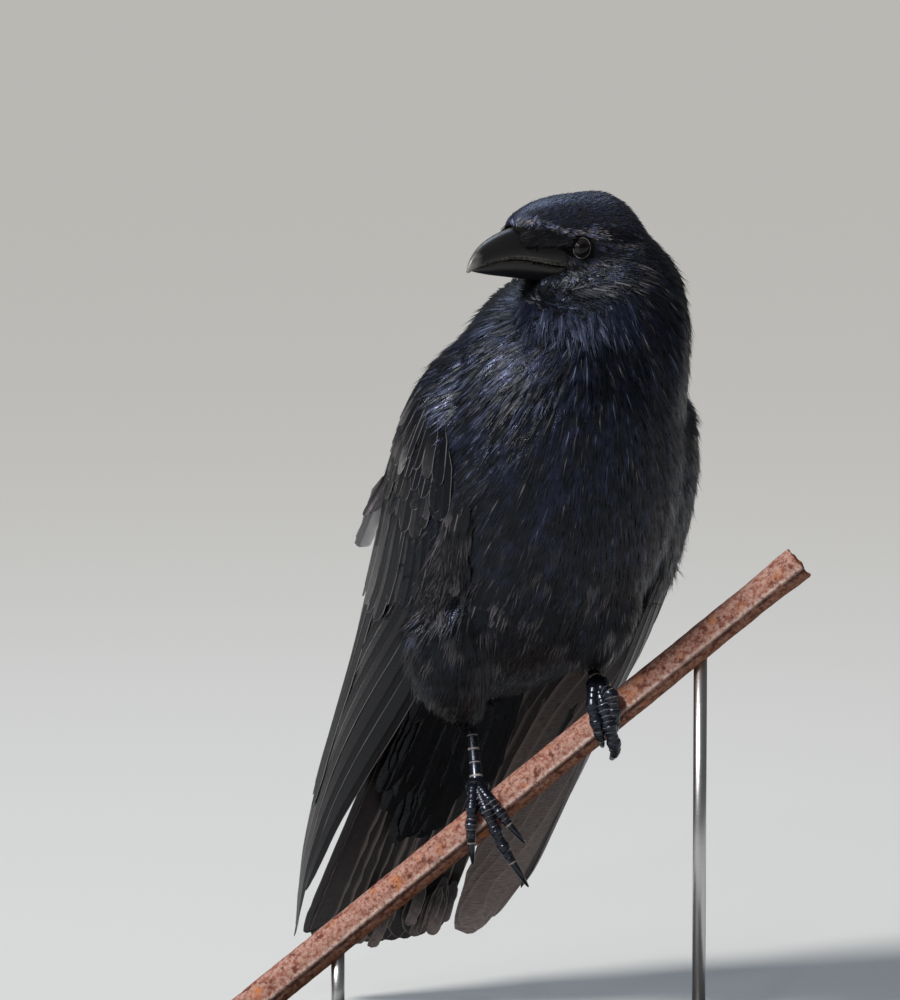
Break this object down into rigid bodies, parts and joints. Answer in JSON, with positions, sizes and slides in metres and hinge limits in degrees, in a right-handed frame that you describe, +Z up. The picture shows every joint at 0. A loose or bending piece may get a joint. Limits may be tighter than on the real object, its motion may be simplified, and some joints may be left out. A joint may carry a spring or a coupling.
{
  "type": "carrion crow",
  "caption": "Life-size black crow perched on a slanting length of rusty tube, head turned over its shoulder, held up by a plain flat stand with two rods.",
  "frame": {"origin": "centre of the underside of the stand's base", "axes": "+Z up; -Y is the side the bird's breast faces; +X is the side the tube rises to"},
  "size_m": [0.2608, 0.2263, 0.3939],
  "materials": {
    "plumage": "glossy black contour feathers with a blue sheen",
    "flight_feathers": "satin black quill feathers, browner at their worn edges",
    "bill": "polished black horn, worn pale at the tip",
    "claws": "glossy black horn",
    "leg_skin": "black scaled skin with a low gloss",
    "eyes": "wet dark brown",
    "rusty_steel": "rusty, pitted",
    "stand_paint": "matt dark grey",
    "stand_steel": "plain steel rod"
  },
  "bodies": {
    "root": {"bill_lower": "bill", "bill_upper": "bill", "claw_left_hind": "claws", "claw_left_inner": "claws", "claw_left_middle": "claws", "claw_left_outer": "claws", "claw_right_hind": "claws", "claw_right_inner": "claws", "claw_right_middle": "claws", "claw_right_outer": "claws", "eye_left": "eyes", "eye_right": "eyes", "foot_left": "leg_skin", "foot_right": "leg_skin", "head": "plumage", "neck": "plumage", "perch": "rusty_steel", "stand_base": "stand_paint", "stand_collar_long": "stand_steel", "stand_collar_short": "stand_steel", "stand_rod_long": "stand_steel", "stand_rod_short": "stand_steel", "tail": "flight_feathers", "tarsus_left": "leg_skin", "tarsus_right": "leg_skin", "thigh_left": "plumage", "thigh_right": "plumage", "trunk": "plumage", "wing_left_coverts": "flight_feathers", "wing_left_primaries": "flight_feathers", "wing_left_secondaries": "flight_feathers", "wing_right_coverts": "flight_feathers", "wing_right_primaries": "flight_feathers", "wing_right_secondaries": "flight_feathers"}
  },
  "joints": []
}
